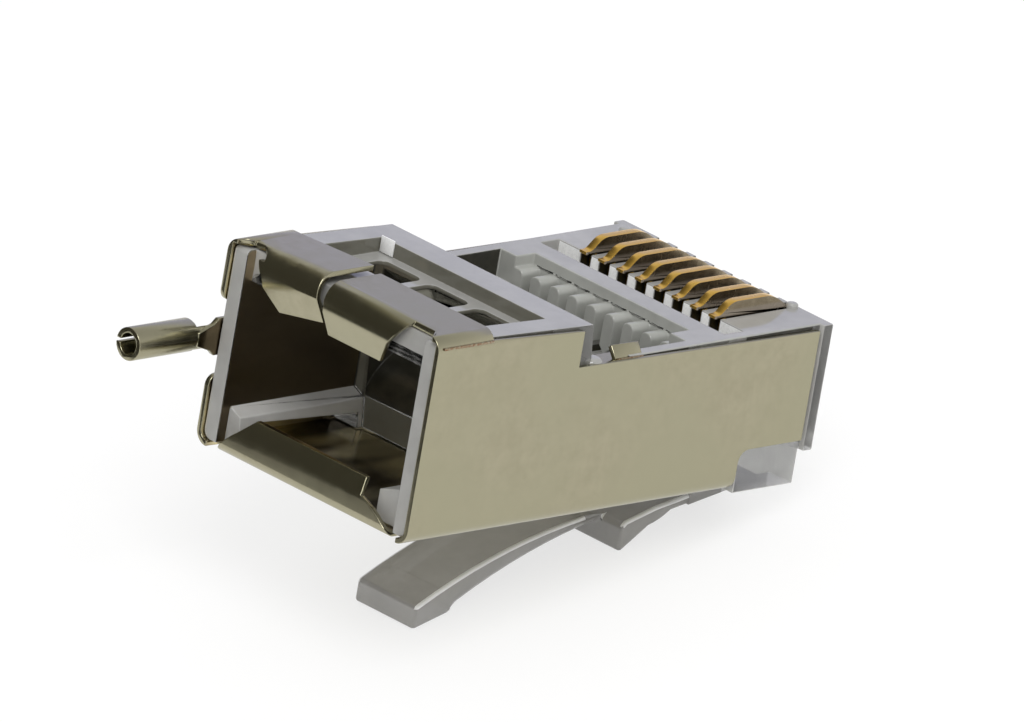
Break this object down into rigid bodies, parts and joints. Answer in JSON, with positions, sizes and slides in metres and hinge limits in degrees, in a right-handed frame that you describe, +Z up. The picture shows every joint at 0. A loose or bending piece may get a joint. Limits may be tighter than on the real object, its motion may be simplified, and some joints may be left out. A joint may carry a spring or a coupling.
{
  "type": "rj45 modular plug",
  "caption": "Clear-bodied modular plug in a folded metal shield, with gold blade contacts standing proud, a rolled drain-wire tail and a sprung locking latch.",
  "frame": {"origin": "centre of the bounding box on the surface that the plug lies on", "axes": "+Z up from the surface, +X towards the nose, with the plug pitched nose-down on its latch; the contact side faces up"},
  "size_m": [0.0254, 0.0128, 0.0151],
  "materials": {
    "clear_moulding": "clear polycarbonate, glossy",
    "plated_shield": "satin nickel plating on sheet metal",
    "gold_contact": "gold-plated blade"
  },
  "bodies": {
    "plug": {"housing": "clear_moulding", "shield": "plated_shield"},
    "latch": {"latch": "clear_moulding"},
    "contact_1": {"contact_1": "gold_contact"},
    "contact_2": {"contact_2": "gold_contact"},
    "contact_3": {"contact_3": "gold_contact"},
    "contact_4": {"contact_4": "gold_contact"},
    "contact_5": {"contact_5": "gold_contact"},
    "contact_6": {"contact_6": "gold_contact"},
    "contact_7": {"contact_7": "gold_contact"},
    "contact_8": {"contact_8": "gold_contact"}
  },
  "joints": [
    {"name": "latch_flex", "type": "hinge", "parent": "plug", "child": "latch", "pos_m": [0.00859, -0.00054, 0.00073], "axis": [0, 1, 0], "range_deg": [0, 14], "stiffness_Nm_per_rad": 0.15},
    {"name": "contact_1_crimp", "type": "slide", "parent": "plug", "child": "contact_1", "axis": [-0.2556, 0, -0.9668], "range_m": [0, 0.0011]},
    {"name": "contact_2_crimp", "type": "slide", "parent": "plug", "child": "contact_2", "axis": [-0.2556, 0, -0.9668], "range_m": [0, 0.0011]},
    {"name": "contact_3_crimp", "type": "slide", "parent": "plug", "child": "contact_3", "axis": [-0.2556, 0, -0.9668], "range_m": [0, 0.0011]},
    {"name": "contact_4_crimp", "type": "slide", "parent": "plug", "child": "contact_4", "axis": [-0.2556, 0, -0.9668], "range_m": [0, 0.0011]},
    {"name": "contact_5_crimp", "type": "slide", "parent": "plug", "child": "contact_5", "axis": [-0.2556, 0, -0.9668], "range_m": [0, 0.0011]},
    {"name": "contact_6_crimp", "type": "slide", "parent": "plug", "child": "contact_6", "axis": [-0.2556, 0, -0.9668], "range_m": [0, 0.0011]},
    {"name": "contact_7_crimp", "type": "slide", "parent": "plug", "child": "contact_7", "axis": [-0.2556, 0, -0.9668], "range_m": [0, 0.0011]},
    {"name": "contact_8_crimp", "type": "slide", "parent": "plug", "child": "contact_8", "axis": [-0.2556, 0, -0.9668], "range_m": [0, 0.0011]}
  ]
}
